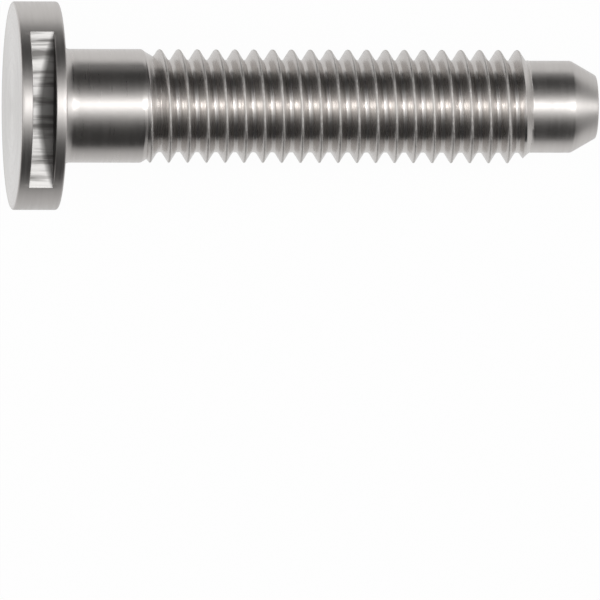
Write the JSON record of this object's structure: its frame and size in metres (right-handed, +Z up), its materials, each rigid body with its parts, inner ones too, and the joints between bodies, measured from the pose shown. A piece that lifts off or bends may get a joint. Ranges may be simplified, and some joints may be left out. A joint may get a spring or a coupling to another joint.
{
  "type": "cheese head screw",
  "caption": "Turned steel machine screw with a thin round head slotted across its rim, a plain shank, a coarse thread and a dog point.",
  "frame": {"origin": "on the table under the middle of the screw's bounding box, as it lies on the rim of its head and the end of its thread", "axes": "+X towards the tip along the lying screw, whose own axis drops 5.8 degrees below +X; +Z up, the side that the rim slot faces; +Y across"},
  "size_m": [0.0316, 0.011, 0.0112],
  "materials": {
    "steel": "bright turned, uncoated"
  },
  "bodies": {
    "root": {"screw": "steel"}
  },
  "joints": []
}
